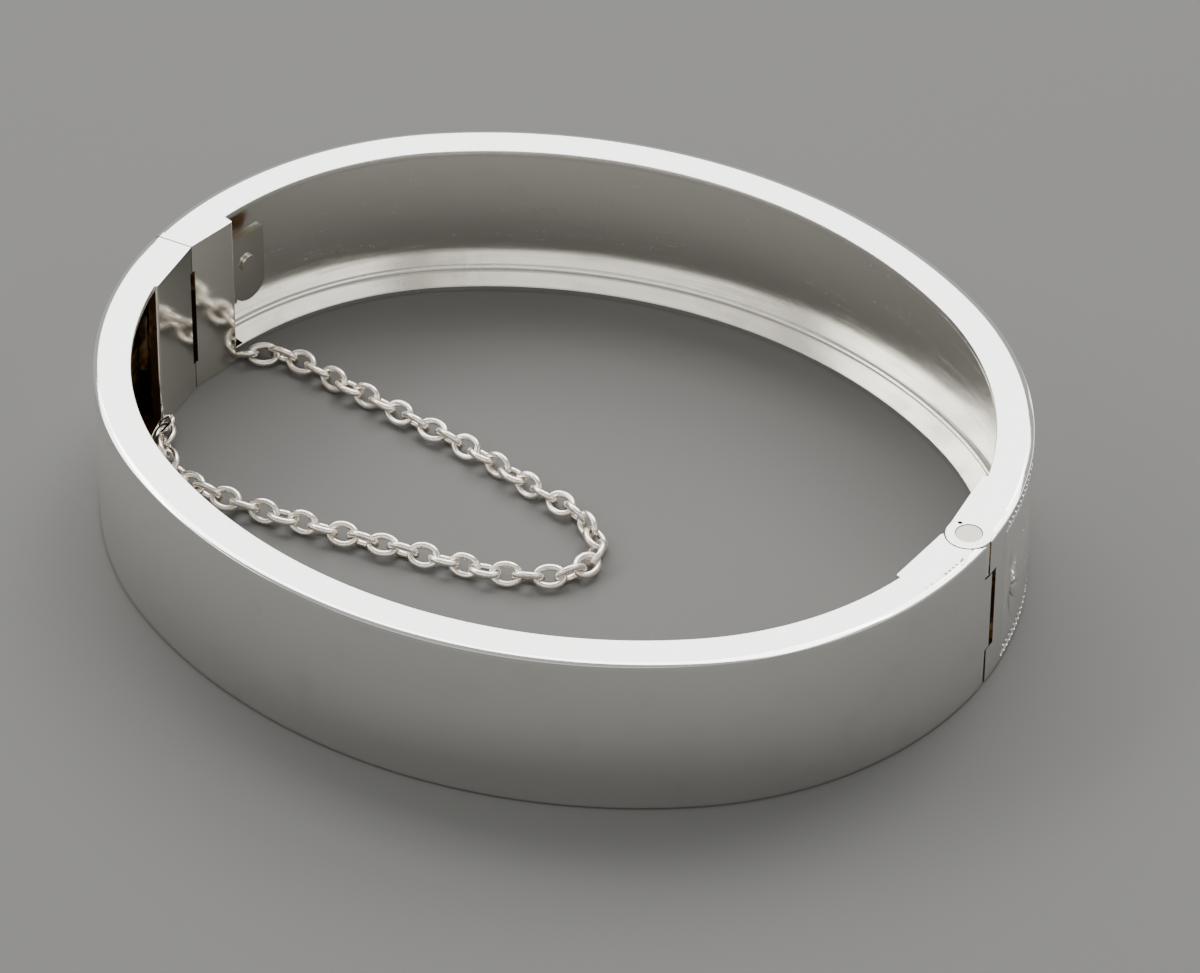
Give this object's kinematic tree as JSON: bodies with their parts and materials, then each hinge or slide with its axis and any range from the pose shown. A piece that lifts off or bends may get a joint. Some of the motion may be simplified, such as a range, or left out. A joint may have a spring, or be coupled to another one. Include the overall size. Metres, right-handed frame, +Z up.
{
  "type": "engraved hinged bangle",
  "caption": "Hinged oval bangle of hollow sheet silver, one half plain and one half engraved, with a snap tongue clasp and a short safety chain.",
  "frame": {"origin": "centre of the bangle's box on the surface that its lower rim rests on", "axes": "+X along the oval to the hinge, +Y to the middle of the engraved half, +Z up from the lower rim to the upper rim"},
  "size_m": [0.066, 0.0556, 0.0127],
  "materials": {
    "plain_silver": "polished sterling silver with hairline scratches, satin rims and light tarnish",
    "engraved_silver": "polished sterling silver, engraved outside, with dark tarnish in the cuts",
    "pin_silver": "filed silver pin end, satin",
    "tongue_silver": "rolled silver strip, satin with handling marks",
    "rivet_silver": "silver rivet head, polished",
    "chain_silver": "polished silver wire, a little warm from tarnish"
  },
  "bodies": {
    "root": {"plain_half": "plain_silver", "engraved_half": "engraved_silver", "hinge_pin": "pin_silver", "snap_tongue": "tongue_silver", "tongue_rivet": "rivet_silver", "safety_chain": "chain_silver"}
  },
  "joints": []
}
